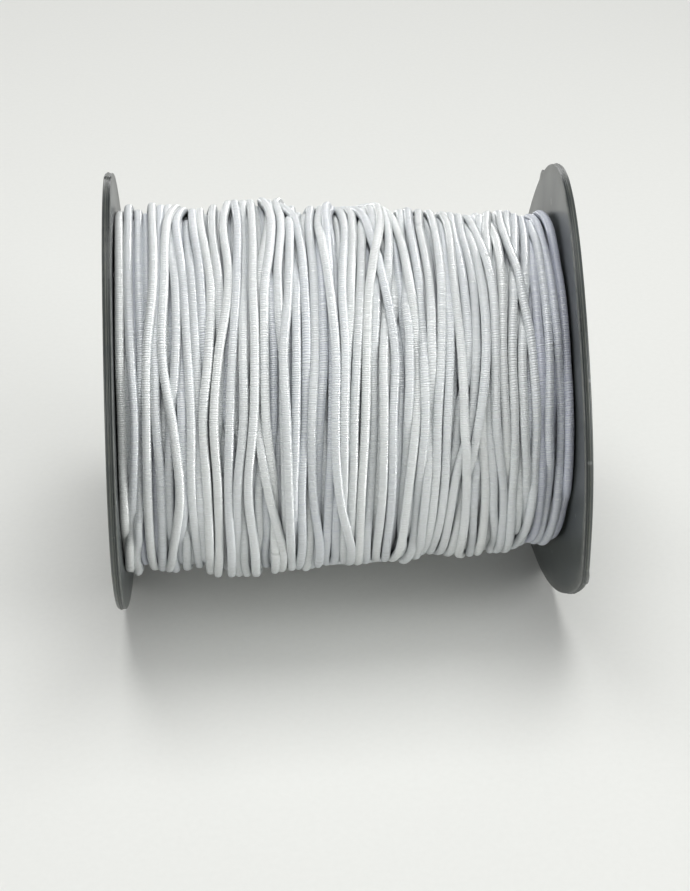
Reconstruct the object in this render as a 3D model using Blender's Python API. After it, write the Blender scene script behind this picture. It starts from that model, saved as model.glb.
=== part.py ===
"""Roll of round elastic cord wound on a flanged spool.

Metres, +Z up. The spool's axis lies along X, level, and its two flanges stand on
the floor at z = 0 on a small flat spot of their rims. The origin is on the floor,
midway between the flanges, straight below the axis.
"""

import math

import bmesh
import bpy

# Driving dimensions.
FLANGE_RADIUS = 0.050
FLANGE_THICKNESS = 0.00187
INNER_WIDTH = 0.0987            # between the inner faces of the flanges
CORD_DIAMETER = 0.0020
BARREL_RADIUS = 0.015
BARREL_WALL = 0.0025
BORE_RADIUS = 0.010             # the spindle's way through the whole spool
CLEARANCE = 0.0003              # between pieces that are fitted together

# The flange's moulded details.
SPIGOT_LENGTH = 0.006           # ring on the inner face that plugs into the barrel
HUB_RADIUS = 0.018              # raised collar round the bore, on the outer face
HUB_RISE = 0.0005
RIM_ROUND = 0.0006              # rounding of the rim's two edges
PARTING_RIDGE_HEIGHT = 0.00010  # the mould's parting line, round the rim
PARTING_RIDGE_WIDTH = 0.00024
STIFF_RADIUS = 0.020            # the flange is flat inside this, and warps outside

# Thin flanges warp a little into a saddle: the rim leaves its plane by this much.
SADDLE_ANGLE = math.radians(44.4)
SADDLE = {"left": -0.00053, "right": 0.00158}

# Stubs that the mould's gates left on a rim: angle in degrees from +Y towards +Z,
# half width in degrees, height in metres.
GATE_STUBS = {
    "left": [],
    "right": [
        dict(angle=48.0, half_width=3.0, height=0.0004),
        dict(angle=209.5, half_width=6.0, height=0.0006),
    ],
}

# The wound form, along the axis from the left flange to the right one: the radius
# out to the tops of the turns, in millimetres.
WOUND_FORM = [
    dict(x=-49.0, radius=41.4),
    dict(x=-42.0, radius=42.4),
    dict(x=-30.0, radius=42.6),
    dict(x=-19.0, radius=43.5),
    dict(x=-8.0, radius=42.2),
    dict(x=5.0, radius=41.6),
    dict(x=16.0, radius=40.9),
    dict(x=30.0, radius=39.9),
    dict(x=42.0, radius=39.2),
    dict(x=49.0, radius=38.6),
]

# The main twists: where a bundle of turns runs slantwise over the others. Each
# goes from start to end along the axis (mm) over the angles from angle - half_span
# to angle + half_span (degrees from +Y towards +Z), and stands up by height (mm).
TWISTS = [
    dict(start=-40, end=-33, angle=150, half_span=50, height=1.5, half_width=2.2),
    dict(start=-27, end=-19, angle=110, half_span=45, height=1.7, half_width=2.6),
    dict(start=-16, end=-24, angle=190, half_span=48, height=1.3, half_width=2.4),
    dict(start=-9, end=-1, angle=140, half_span=55, height=1.6, half_width=2.4),
    dict(start=12, end=4, angle=100, half_span=40, height=1.7, half_width=2.6),
    dict(start=13, end=22, angle=160, half_span=50, height=1.3, half_width=2.2),
    dict(start=31, end=38, angle=130, half_span=52, height=1.5, half_width=2.4),
    dict(start=29, end=22, angle=215, half_span=45, height=1.3, half_width=2.2),
    dict(start=-37, end=-29, angle=275, half_span=55, height=1.5, half_width=2.4),
    dict(start=-8, end=-17, angle=285, half_span=50, height=1.3, half_width=2.6),
    dict(start=6, end=15, angle=265, half_span=55, height=1.5, half_width=2.4),
    dict(start=40, end=33, angle=300, half_span=50, height=1.3, half_width=2.2),
    dict(start=-31, end=-39, angle=15, half_span=50, height=1.3, half_width=2.4),
    dict(start=-12, end=-4, angle=30, half_span=50, height=1.5, half_width=2.6),
    dict(start=20, end=11, angle=5, half_span=55, height=1.5, half_width=2.4),
    dict(start=27, end=35, angle=40, half_span=48, height=1.3, half_width=2.2),
]

# How finely the round pieces are divided.
FLANGE_STEPS = 80
WINDING_STEPS = 72
WINDING_BANDS = 32
BARREL_STEPS = 48
RIM_ROUND_POINTS = 2
SMOOTH_ANGLE = math.radians(35.0)

# Half the small flat spot's angle: one and a half of the flange's steps, so that
# the flat ends on its corners. The axis is that much lower than a full radius.
FLAT_HALF_ANGLE = 1.5 * 2 * math.pi / FLANGE_STEPS
AXIS_HEIGHT = FLANGE_RADIUS * math.cos(FLAT_HALF_ANGLE)

MILLIMETRE = 0.001
PLASTIC_LOOK = dict(color=(0.045, 0.048, 0.046, 1.0), roughness=0.38)
CORD_LOOK = dict(color=(0.76, 0.79, 0.83, 1.0), roughness=0.60)


def clear_scene():
    """Removes what the file starts with."""
    for thing in list(bpy.data.objects):
        bpy.data.objects.remove(thing, do_unlink=True)


def material(name, look):
    """One plain surface of that colour and roughness."""
    made = bpy.data.materials.new(name)
    made.use_nodes = True
    shader = made.node_tree.nodes["Principled BSDF"]
    shader.inputs["Base Color"].default_value = look["color"]
    shader.inputs["Roughness"].default_value = look["roughness"]
    shader.inputs["Metallic"].default_value = 0.0
    return made


def angle_of(y, z):
    """Angle about the axis, in radians from +Y towards +Z."""
    return math.atan2(z, y)


def angle_between(a, b):
    """How far angle a is past angle b, from -pi to pi."""
    return (a - b + math.pi) % (2 * math.pi) - math.pi


def bump(distance, half_width):
    """A smooth hump: 1 at no distance, 0 from half_width on."""
    share = min(abs(distance) / half_width, 1.0)
    return 0.5 * (1.0 + math.cos(math.pi * share))


def saddle(side, radius, angle):
    """How far the flange of that side is out of its plane, along X, at a point."""
    share = max(0.0, radius - STIFF_RADIUS) / (FLANGE_RADIUS - STIFF_RADIUS)
    return SADDLE[side] * share**2 * math.cos(2 * (angle - SADDLE_ANGLE))


def turned(name, outline, steps, look, shape):
    """One closed body: the outline, (x, radius) points round its section, turned about
    the axis. shape moves each turned point: (x, radius, angle) to (x, radius)."""
    body = bmesh.new()
    half_step = math.pi / steps
    corners = [
        body.verts.new((x, radius * math.sin(half_step), radius * math.cos(half_step)))
        for x, radius in outline
    ]
    sides = [body.edges.new(pair) for pair in zip(corners, corners[1:] + corners[:1])]
    bmesh.ops.spin(
        body,
        geom=corners + sides,
        cent=(0, 0, 0),
        axis=(1, 0, 0),
        angle=2 * math.pi,
        steps=steps,
        use_merge=True,
    )
    bmesh.ops.recalc_face_normals(body, faces=body.faces)
    for corner in body.verts:
        x, y, z = corner.co
        angle = angle_of(y, z)
        x, radius = shape(x, math.hypot(y, z), angle)
        corner.co = (x, radius * math.cos(angle), radius * math.sin(angle))
    mesh = bpy.data.meshes.new(name)
    body.to_mesh(mesh)
    body.free()
    mesh.shade_smooth()
    mesh.set_sharp_from_angle(angle=SMOOTH_ANGLE)
    mesh.materials.append(material(name, look))
    piece = bpy.data.objects.new(name, mesh)
    bpy.context.scene.collection.objects.link(piece)
    return piece


def rim_outline(inner_x, outward):
    """The rim's section from the inner face round to the outer one: two rounded
    edges with the parting ridge between them."""
    corner_radius = FLANGE_RADIUS - RIM_ROUND
    middle = inner_x + outward * FLANGE_THICKNESS / 2
    rounded = []
    for i in range(RIM_ROUND_POINTS + 1):
        turn = 0.5 * math.pi * i / RIM_ROUND_POINTS
        inset = RIM_ROUND * (1 - math.sin(turn))
        rounded.append((inset, corner_radius + RIM_ROUND * math.cos(turn)))
    inner_edge = [
        (inner_x + outward * inset, radius) for inset, radius in reversed(rounded)
    ]
    outer_x = inner_x + outward * FLANGE_THICKNESS
    outer_edge = [(outer_x - outward * inset, radius) for inset, radius in rounded]
    half_ridge = outward * PARTING_RIDGE_WIDTH / 2
    ridge = [
        (middle - half_ridge, FLANGE_RADIUS),
        (middle, FLANGE_RADIUS + PARTING_RIDGE_HEIGHT),
        (middle + half_ridge, FLANGE_RADIUS),
    ]
    return inner_edge + ridge + outer_edge


def flange(side):
    """A thin disc with a rounded rim, a spigot inside and a low collar outside."""
    outward = -1 if side == "left" else 1
    inner_x = outward * INNER_WIDTH / 2
    outer_x = inner_x + outward * FLANGE_THICKNESS
    collar_x = outer_x + outward * HUB_RISE
    spigot_radius = BARREL_RADIUS - BARREL_WALL - CLEARANCE
    outline = [
        (collar_x, BORE_RADIUS),
        (inner_x - outward * SPIGOT_LENGTH, BORE_RADIUS),
        (inner_x - outward * SPIGOT_LENGTH, spigot_radius),
        (inner_x, spigot_radius),
        (inner_x, STIFF_RADIUS),
        (inner_x, (STIFF_RADIUS + FLANGE_RADIUS) / 2),
        *rim_outline(inner_x, outward),
        (outer_x, (STIFF_RADIUS + FLANGE_RADIUS) / 2),
        (outer_x, STIFF_RADIUS),
        (outer_x, HUB_RADIUS),
        (collar_x, HUB_RADIUS),
    ]
    rim_starts = FLANGE_RADIUS - RIM_ROUND / 2

    def shape(x, radius, angle):
        x += saddle(side, radius, angle)
        if radius > rim_starts:
            for stub in GATE_STUBS[side]:
                away = angle_between(angle, math.radians(stub["angle"]))
                radius += stub["height"] * bump(away, math.radians(stub["half_width"]))
        if math.sin(angle) < 0:
            radius = min(radius, AXIS_HEIGHT / -math.sin(angle))
        return x, radius

    return turned("flange_" + side, outline, FLANGE_STEPS, PLASTIC_LOOK, shape)


def barrel():
    """The tube that carries the winding, pushed over both spigots."""
    half_length = INNER_WIDTH / 2 - CLEARANCE
    bore = BARREL_RADIUS - BARREL_WALL
    outline = [
        (-half_length, bore),
        (half_length, bore),
        (half_length, BARREL_RADIUS),
        (-half_length, BARREL_RADIUS),
    ]
    return turned(
        "barrel", outline, BARREL_STEPS, PLASTIC_LOOK, lambda x, radius, _: (x, radius)
    )


def wound_radius(x):
    """The smooth radius of the wound form at a place along the axis, in metres."""
    place = x / MILLIMETRE
    for left, right in zip(WOUND_FORM, WOUND_FORM[1:]):
        if place <= right["x"] or right is WOUND_FORM[-1]:
            share = (place - left["x"]) / (right["x"] - left["x"])
            eased = 0.5 - 0.5 * math.cos(math.pi * min(max(share, 0.0), 1.0))
            radius = left["radius"] + eased * (right["radius"] - left["radius"])
            return radius * MILLIMETRE


def twist_height(x, angle):
    """How far the main twists stand up at a point of the winding, in metres."""
    height = 0.0
    for twist in TWISTS:
        half_span = math.radians(twist["half_span"])
        away = angle_between(angle, math.radians(twist["angle"]))
        share = 0.5 + 0.5 * away / half_span
        centre = twist["start"] + share * (twist["end"] - twist["start"])
        across = bump(x / MILLIMETRE - centre, twist["half_width"])
        height = max(height, twist["height"] * across * bump(away, half_span))
    return height * MILLIMETRE


def winding():
    """All the cord as one wound body, with the barrel's way through it."""
    half_width = INNER_WIDTH / 2 - CLEARANCE
    inside = BARREL_RADIUS + CLEARANCE
    places = [
        half_width * (2 * i / WINDING_BANDS - 1) for i in range(WINDING_BANDS + 1)
    ]
    sunk = CORD_DIAMETER / 2   # the hollows between the tops of the turns
    outer = [(x, wound_radius(x) - sunk) for x in places]
    middle_radius = (STIFF_RADIUS + FLANGE_RADIUS) / 2
    outline = [
        (-half_width, inside),
        (-half_width, STIFF_RADIUS),
        (-half_width, middle_radius),
        *outer,
        (half_width, middle_radius),
        (half_width, STIFF_RADIUS),
        (half_width, inside),
    ]

    def shape(x, radius, angle):
        side = "left" if x < 0 else "right"
        lean = saddle(side, radius, angle) * abs(x / half_width) ** 8
        if radius > middle_radius:
            radius += twist_height(x, angle)
        return x + lean, radius

    return turned("winding", outline, WINDING_STEPS, CORD_LOOK, shape)


def main():
    """Builds the roll and stands it on the floor."""
    clear_scene()
    spool_axis = bpy.data.objects.new("spool_axis", None)
    bpy.context.scene.collection.objects.link(spool_axis)
    spool_axis.location = (0.0, 0.0, AXIS_HEIGHT)
    for piece in (flange("left"), flange("right"), barrel(), winding()):
        piece.parent = spool_axis


main()
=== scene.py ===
"""The looks of a roll of round elastic cord: its turns, its plastic, floor, light and camera.

Metres, +Z up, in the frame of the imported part: the spool's axis is level along X, and its
flanges stand on the floor at z = 0. The spool's and the cord's lengths are in millimetres
from that axis until a mesh is made.
"""

import math
from typing import NamedTuple

import bpy
import numpy as np
from mathutils import Euler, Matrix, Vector


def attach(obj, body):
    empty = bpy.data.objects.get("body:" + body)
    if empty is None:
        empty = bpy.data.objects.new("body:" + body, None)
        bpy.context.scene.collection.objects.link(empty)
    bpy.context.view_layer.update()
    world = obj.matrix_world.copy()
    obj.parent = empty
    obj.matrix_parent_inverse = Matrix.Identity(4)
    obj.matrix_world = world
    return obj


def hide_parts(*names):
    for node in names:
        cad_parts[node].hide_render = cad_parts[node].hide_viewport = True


MILLIMETRE = 0.001

# The spool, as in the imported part, in millimetres.
FLANGE_RADIUS = 50.0
FLANGE_THICKNESS = 1.87
INNER_HALF = 49.35  # from the middle to a flange's inner face
AXIS_HEIGHT = 49.653
BARREL_RADIUS = 15.0
BARREL_WALL = 2.5
BORE_RADIUS = 10.0
CLEARANCE = 0.3
SPIGOT_LENGTH = 6.0
HUB_RADIUS = 18.0
HUB_RISE = 0.5
CORNER = 0.22  # rounding of the flange's smaller corners
ROUND_STEPS = 5
INNER_EDGE = 0.28  # rounding of the rim's inner and outer edges
OUTER_EDGE = 0.50
PARTING_RIDGE = (1.14, 0.16, 0.14)  # depth from the inner face, half width and height
RECESS = (23.0, 45.5)  # the outer face is a little lower between these radii
RECESS_DEPTH = 0.25
RECESS_STEP = 0.3  # half the width of the step at its edges
PIN_CIRCLE = 34.5  # the marks of the mould's ejector pins on the outer face
PIN_COUNT = 6
PIN_RADIUS = 2.0
PIN_DEPTH = 0.10
PIN_STEP = 0.25
STIFF_RADIUS = 20.0  # within this radius a flange keeps its plane
SADDLE_ANGLE = math.radians(44.4)
SADDLE = {"left": -0.53, "right": 1.58}  # how far the rims warp along X
STANDS_FROM = 40.0  # the floor flattens a flange past this radius
FLANGE_STEPS = 360  # even steps round a flange
STUB_STEP = 0.3  # the finer steps in degrees, up to so many half widths from a stub
STUB_NEAR = 1.6

# The right rim leans outwards about one place.
BEND_ANGLE = 218.0  # degrees from +Y towards +Z
BEND_HALF_WIDTH = 17.0
BEND_OUTWARDS = 1.30

# The rim, by its depth in millimetres below its top.
ROUGH_DEPTH = 0.3
ROUGH_SIZE = 0.03
ROUGH_WAVES = range(11, 150, 8)  # waves in a round that add up to the roughness
ROUGH_PARTING = (2.0, -0.8)  # how rough the parting line is, and the least it is
WORN = (0.9, 0.1)  # where wear starts and is full
PALE = (0.45, 0.2)  # and the painted highlight line at its inner edge
# how far out from the inner face the painted highlight reaches, and fades
PALE_OUTWARDS = (0.12, 0.3)
STUB_PALE = 0.8
# the last number is painted shade: how much darker than the wear a groove is painted
GROOVES = [  # distance from the inner face, half width, depth, and darker than the wear by
    (0.44, 0.16, 0.18, 1.35),
    (0.88, 0.07, 0.09, 1.0),
    (1.48, 0.12, 0.14, 1.4),
]


class Stub(NamedTuple):
    """What a gate of the mould left on a rim: its place and half width in degrees, its
    height, and how far from the inner face it starts."""

    side: str
    angle: float
    half_width: float
    height: float
    start: float


STUBS = [
    Stub("right", 46.0, 2.8, 1.15, 0.0),
    Stub("right", 211.0, 4.8, 0.55, 0.85),
    Stub("left", 76.0, 1.3, 0.35, 0.0),
]

# The plastic's colours.
PLASTIC = (0.042, 0.048, 0.047)
PLASTIC_MOTTLE = (0.052, 0.060, 0.060)
PLASTIC_WORN = (0.076, 0.082, 0.067)
# painted highlight along the rim's inner edge, which the paler stubs take too
PLASTIC_EDGE_HIGHLIGHT = (0.15, 0.156, 0.15)
# painted shade in the rim's grooves
PLASTIC_DARK = (0.012, 0.013, 0.012)
PLASTIC_SPECK = (0.17, 0.18, 0.18)
PLASTIC_ROUGH = (0.25, 0.36)
WORN_ROUGHER = 0.12
GRAIN_SCALE = 900.0
GRAIN_BUMP = 0.00003
CLOUD_SCALE = 45.0
PATCH_SCALE = 260.0
SPECK_SCALE = 260.0
SPECK_SIZE = (0.07, 0.16)  # where a speck starts and has faded, from its middle
SPECK_RARE = 0.93  # share of them that doesn't show

FLOOR = (0.79, 0.795, 0.765)
FLOOR_DARK = (0.755, 0.76, 0.73)
FLOOR_HALF = 4.0
TOOTH_SCALE = 700.0
TOOTH_BUMP = 0.0001

# The photo, and the camera that took it.
IMAGE_WIDTH = 690
IMAGE_HEIGHT = 891
SENSOR_WIDTH = 36.0
FOCAL_PIXELS = 1870.1
CAMERA_PLACE = (-0.02652, -0.36818, 0.27971)
CAMERA_TURN = (56.236, -0.630, -4.023)
CLIP = (0.01, 20.0)

# Soft square lamps: name, place, width and height, and power.
LAMPS = [
    ("overhead", (0.0, 0.15, 0.85), (0.6, 0.5), 4.85),
    ("top_front", (0.0, -0.35, 1.0), (0.6, 0.5), 1.6),
    ("right_panel", (0.8, -0.30, 0.34), (0.45, 0.45), 2.1),
    ("low_right", (0.8, -0.3, 0.15), (0.5, 0.25), 3.1),
    ("left_back", (-0.75, 0.35, 0.45), (0.5, 0.5), 0.4),
    ("low_left", (-0.8, -0.3, 0.15), (0.5, 0.25), 2.3),
    ("low_front", (0.0, -0.8, 0.12), (1.0, 0.2), 0.75),
    ("low_back", (0.0, 0.9, 0.15), (0.8, 0.2), 1.3),
]
SHINE_LAMPS = [  # these add the silky lines on the cord
    ("shine_right", (0.42, 1.04, 0.47), (0.10, 0.30), 7.5),
    ("shine_left", (-0.62, 1.04, 0.13), (0.10, 0.20), 5.8),
    ("shine_side", (0.85, -0.22, 0.28), (0.07, 0.20), 11.0),
]
LAMPS_AIM = (0.0, 0.0, 0.05)
ROOM_COLOR = (0.97, 0.98, 1.0)
ROOM_STRENGTH = 0.17

# The wound form: the radius out to the tops of the turns along the axis.
FORM_X = (-49.0, -42.0, -30.0, -19.0, -8.0, 5.0, 16.0, 30.0, 42.0, 49.0)
FORM_RADIUS = (42.2, 42.4, 42.6, 43.5, 42.2, 41.6, 40.9, 39.9, 39.2, 38.6)

# The cord, and how it lies. Angles about the axis are in degrees from +Y towards +Z. A
# rank is how high a turn lies among its neighbours.
CORD_RADIUS = 1.0
PRESSED = 0.93  # of its diameter is left between two turns that touch
STEPS = 180  # places that are worked out round each turn
PATH_START = -32.0  # a turn starts at this angle, on the side away from the camera
ANGLES = np.arange(STEPS) * 360.0 / STEPS  # from there on
TOP_EDGE = 95.6  # the outlines against the sky and the floor, from there as well
BOTTOM_EDGE = 264.4
FLANGE_GAP = 0.05  # the least room between a turn and a flange
GAP_AT = {"left": 42.0, "right": 40.0}  # the radius at which the warp is taken
FOLLOWED = 0.35  # how far the first turn goes after a flange that bends away
KNOTS_APART = 2.0  # the fewest degrees between two known places of a turn
BACK_KNOTS = (292.0, 318.0, 344.0, 370.0, 396.0, 422.0)  # angles behind where turns stray
BACK_WANDER = 1.15
SWAPPED = 0.45  # how often a turn is wound before the one on its left
END_RANKS = (-1.0, -1.5)  # where the visible cord comes from beneath, and goes back
END_RUN = 3.0  # how far along the axis it runs in going back
LOW_RANKS = (-6, -4)  # of the two layers beneath
UNDER_TURNS = 48  # turns in each of the layers beneath
UNDER_GAP = 0.15
UNDER_WANDER = 0.35
UNDER_KNOTS = 0.2
CORE_DEPTH = 6.1  # from the tops of the turns down to the wound body below them
CORE_SUNK = 0.15  # how far the lowest turns sink into that body
CORE_PITCH = 2.1
CORE_RIPPLE = 0.35
CORE_RIPPLED_FROM = 34.0
CORE_FACES = (26.0, 33.0)  # radii of points on its end faces
CORE_BANDS = 8  # rings to a turn of the body
CORE_STEPS = 120
CORE_TONE = 0.3
# the wound body's openness: it gets part of the painted gap shade
CORE_OPEN = 0.12
SETTLING_STEPS = 220
LAST_STEPS = 25  # these are without the pull
PULL = 0.05
NEIGHBOURS = 8
EASED = 0.6  # share of an overlap that one step takes away
HOLD = (0.1, 0.9)  # how firmly visible turns keep their place, and how much more in front
HOLD_FADE = 25.0  # degrees past the outlines over which that fades
HOLD_WEIGHT = 0.85  # how much less a turn that is held fully gets pushed aside
HOLD_PULL = 0.25  # share of its way back that it goes in a step
EDGE_REACH = 16.0  # degrees either side of an outline that its line holds
EDGE_LIFT = 0.5  # share of the way up to it that a turn comes in a step
EDGE_SLACK = 8.0  # how much further from it turns may be where it doesn't hold
EDGE_GIVE = 0.15  # how far a turn may stand out past the outline
LIFTED_FROM = 0.8  # the rank from which turns come up to it
BACKED = (3.4, 1.6)  # how far below the outline each of the layers beneath may sink
SEED = 11

# Rows of the photo at which each visible turn was looked up, in pixels, as far as it
# reaches down.
PHOTO_ROWS = (225, 290, 355, 420, 485, 550)
# The visible turns: where each crosses the top outline, those rows and the bottom outline,
# all in pixels across the photo, and its rank at the top and the bottom. Some run sideways
# behind the top outline, or behind the bottom one: pixels across, degrees past it and rank.
TURNS = [
    (119, (118.9, 119.1, 119.5, 121.5, 123.5, 126.5), 130.5, (2, 2)),
    (121, (122, 122.5, 123.5, 128.3, 127.8, 128.5), 129, (0, 0)),
    (129, (128.3, 128, 130.3, 134.2, 133.3, 129.5), 130, (1, 1)),
    (138, (137.6, 138.5, 140.5, 138, 138.5, 136.4), 138, (0, 0)),
    (152, (152.6, 152.8, 146.9, 146.4, 147.4, 150.8), 155.8, (2, 2)),
    (163, (158, 157, 154.5, 155.8, 161, 162.6), 163, (0, 1.3)),
    (168, (169, 175.5, 175.8, 171, 169, 172), 174, (1, 1)),
    (177, (167.6, 163.5, 161.6, 172, 179.9, 173.3), 170.8, (2.5, 2.5)),
    (180, (178, 180, 181, 181.5, 184, 180), 182, (0, 0)),
    (183, (176, 183.9, 188, 191, 191.4, 198.2), 200, (1.6, 1.6)),
    (187, (186.8, 192, 196, 197.4, 199.5, 204), 205, (0.5, 0.5)),
    (195, (195.5, 201, 202.6, 203, 204, 206), 207, (0, 0)),
    (199, (200.5, 210.8, 208.3, 202.9, 206.4, 209.5), 211, (2, 2)),
    (213, (212, 218.3, 219.5, 217, 217, 218), 219, (0, 0)),
    (229, (223.3, 228.5, 218.6, 214.1, 217.6, 219.3), 218, (2, 2)),
    (233, (237.6, 236, 232.5, 230, 228.5, 231.5), 232, (1.9, 1.9)),
    (243, (243, 243, 243.2, 243.7, 238, 236), 238, (0, 0)),
    (247, (247, 247, 247, 245, 243, 242), 243, (-1, -1)),
    (249, (252.6, 253.5, 255, 254, 248.3, 254.8), 256.5, (2, 2)),
    (268, (268, 259, 257.5, 257.5, 267.3, 282), 281, (1, 2.6)),
    (262.5, (270.8, 264.5, 264.5, 266, 273, 276), 276, (2, 1.5)),
    (277, (280.8, 277.6, 283, 284, 286, 288), 289, (0.8, 0)),
    (291, (290, 288.3, 283.5, 286.4, 288.5, 290.8), 292, (1, 1)),
    (280, (296.4, 304.8, 307, 306, 301.8, 302), 298, (2, 2)),
    (297, (290, 295.3, 296.5, 296, 294.5, 294), 293, (0, 0)),
    (310, (308.9, 314.5, 314.8, 312, 312.5, 320), 317, (1.9, 1.9)),
    (312, (312, 312, 311, 311, 311, 311), 307, (-1, 0)),
    (321, (318.9, 329.8, 335.8, 335.8, 338.6, 351.5), 348, (2, 2.5)),
    (320, (320, 320, 322.5, 320, 319, 316), 315, (0, 0)),
    (325, (325, 331, 333, 333, 331, 326), 326, (0.2, 0.2), (), ((343, 2, 3), (366, 4, 3), (385, 7, 2.5))),
    (328, (328.5, 336.5, 340, 340, 340, 337), 334, (0, 0)),
    (338, (344.5, 342.6, 345.5, 343.9, 343, 344), 345, (1, 1)),
    (350, (352.6, 350.5, 347, 346, 347, 348), 349, (0.5, 0)),
    (362, (362, 360.5, 357.3, 354.5, 352.8, 350), 350, (1, 1)),
    (350, (366, 386, 395.5, 393.5, 392.6, 386.5), 385, (2, 1.2), ((333, 4, 2.2),)),
    (378, (379.8, 369.8, 367, 365.8, 362.3, 359), 358, (2, 1.6)),
    (369, (373, 375.5, 374, 374.3, 372, 366), 365.6, (1.9, 1.2)),
    (376, (387.5, 387, 384, 384.5, 383.3, 376.4), 375, (1.5, 1), ((362, 4, 1.5),)),
    (381, (396, 410.5, 417.6, 416.6, 409.5, 398.5), 392, (2.6, 2.2), ((367, 4, 2.8),)),
    (400, (401.8, 408, 410, 410, 406, 402), 400, (0, 0)),
    (407, (409.5, 420, 424.5, 425.8, 420, 411.4), 404, (1, 1)),
    (418, (419.5, 430.5, 432, 430, 426.8), 418, (1, 0)),
    (428, (433.9, 442, 441.4, 438, 435.5), 420, (2, 2)),
    (438, (443, 447, 450.3, 448, 445), 429.5, (0, 1)),
    (441, (447, 454.8, 462, 464.5, 466.8, 458.5), 460.8, (2, 2.2)),
    (449, (452, 464.7, 469, 459, 452), 443, (0, 0)),
    (457, (460.8, 474.3, 476.4, 471.4, 455), 438, (1, 1.3)),
    (466, (468, 482.6, 485.5, 479.3, 467), 448, (1, 1.4)),
    (465, (472.6, 492, 495.1, 496, 503.3), 495, (2, 2)),
    (478, (480, 487, 490, 490, 492), 495, (0, 0)),
    (484, (491.4, 501.8, 502.6, 506, 509), 507, (1, 0.6)),
    (487, (487, 487, 487, 482.5, 486), 477, (0, 1.9)),
    (476, (476, 478, 476, 476, 474), 470, (-1, 0)),
    (497, (497, 497, 497, 497, 494), 486, (-1, 0)),
    (498, (501, 521.4, 533.3, 537, 533.5), 512, (2.8, 2.8)),
    (507, (507.6, 515, 522, 524, 521.5), 510, (0, 0)),
    (513.5, (514.8, 514, 512.6, 515, 513.3), 505, (1, 1)),
    (520, (523.3, 526, 522.6, 524.8, 527), 518, (1.1, 1)),
    (527, (528, 535.5, 540, 542, 541.5), 527, (0, 0)),
    (526, (530.8, 544.5, 549.5, 549.3, 550), 534.5, (1, 1)),
    (529, (536.4, 552.3, 559.5, 563.3, 560), 542, (1.9, 1.9)),
    (539, (546.8, 563, 568.3, 570, 568), 554.5, (2, 2)),
]

# Points of the winding's outlines in the photo: pixels across and down.
TOP_LINE = [
    (119, 211.5), (129, 204), (138, 210.5), (151.5, 202), (163.5, 204.5), (176, 204),
    (189, 209.5), (198.5, 208), (214.5, 204), (229, 199.5), (246.5, 199.5), (261, 197),
    (270, 200), (286, 203.5), (302, 211), (310, 205.5), (323, 205.5), (340.5, 206.5),
    (363, 205.5), (375, 202.5), (391, 212), (406, 207.5), (433, 210), (451, 212.5),
    (467.5, 215.5), (479, 216.5), (496, 210), (507.5, 210.5), (517.5, 216.5),
    (527.5, 215), (539, 210),
]
BOTTOM_LINE = [
    (131.5, 568.5), (138, 576), (151, 570), (170, 572.5), (190.5, 572.5), (200, 568),
    (216, 577.5), (229, 577.5), (254.5, 577.5), (273.5, 574), (296, 569.5), (307, 570.5),
    (318, 568), (334, 564), (356.5, 565.5), (376.5, 561.5), (393, 562), (404.5, 564),
    (424.5, 553.5), (448, 556.5), (461, 558.5), (484, 554.5), (507.5, 552),
    (525.5, 541.5), (542, 545.5), (555.5, 535.5),
]

# The mesh of the cord.
TOP_SIDES = 16
UNDER_SIDES = 8
UNDER_STRIDE = 2  # the hidden layers use every second place
FLATTENED = 0.96  # height of the cord's section over its width
SQUARED = 2.2  # 2 is a round section, and more is a squarer one
TOP_PIECES = 3
OTHER_TURN = 1.02  # cord radii from a point past which a turn isn't its own

# The cord's cover.
RIB_PITCH = 0.45  # millimetres along the cord
RIB_UNEVEN = 0.16  # share by which the pitch varies from place to place
RIB_STRETCH = 40.0  # millimetres of cord between two such places
RIB_SLANT = 1.0  # ribs gained in going once round the cord
RIB_NOISE = 0.35  # how close together the bends of the ribs are, and their size in ribs
RIB_STRAY = 1.6
RIB_BUMP = 0.00015
SILK = 0.95  # how much of the shine is drawn out into lines
CORD_IOR = 1.6
RIB_SHADE = 0.40  # how much of the tone's range a rib takes up, as painted shade in its grooves
RIB_OWN = 0.4  # how much the ribs differ from one another
RIB_GLINT = 0.09  # how much smoother a rib is on its crest
TONES = (0.20, 0.60)  # the turns' own tones lie between these
TONE_STRAY = 0.07
TONE_KNOTS = 8  # places in a turn at which its tone strays
SUNK_SHADE_AND_DULLING = 0.15  # turns that lie lower are this much darker, as painted shade, and rougher
SUNK_BELOW = 1.2  # the rank below which they get that painted shade
# painted shade near both flanges, and painted light on the first turn at the left one
END_SHADE_AND_LIGHT = (  # by how much, from where along the axis on, and where fully
    (-0.18, -34.0, -42.0),
    (-0.48, 37.0, 45.0),
    (0.48, -46.3, -47.8),
)
DULL = (-0.15, 0.2, 0.51, 0.345)  # a dull and a bright tone, and their roughness
# the tone runs from lavender to warm white; its lavender end shows mostly where shade is painted
CORD_LAVENDER = (0.51, 0.535, 0.64)
CORD_COOL = (0.68, 0.715, 0.73)
CORD_WARM = (0.80, 0.825, 0.81)
COOL_TONE = 0.45  # the tone that has the cool colour, from 0 for lavender to 1 for warm
# the cord's colour deep in the gaps between turns: painted shade
CORD_GAP_SHADE = (0.42, 0.44, 0.47)
GAP_OPEN = (0.0, 0.20)  # openness where the painted shade of a gap starts and ends


# -------- the camera and the photo


def make_camera():
    """The camera that took the photo."""
    data = bpy.data.cameras.new("camera")
    data.sensor_width = SENSOR_WIDTH
    data.lens = FOCAL_PIXELS * SENSOR_WIDTH / IMAGE_HEIGHT
    data.clip_start, data.clip_end = CLIP
    camera = add_object("camera", data)
    camera.location = CAMERA_PLACE
    camera.rotation_euler = [math.radians(turn) for turn in CAMERA_TURN]
    bpy.context.scene.camera = camera


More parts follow.
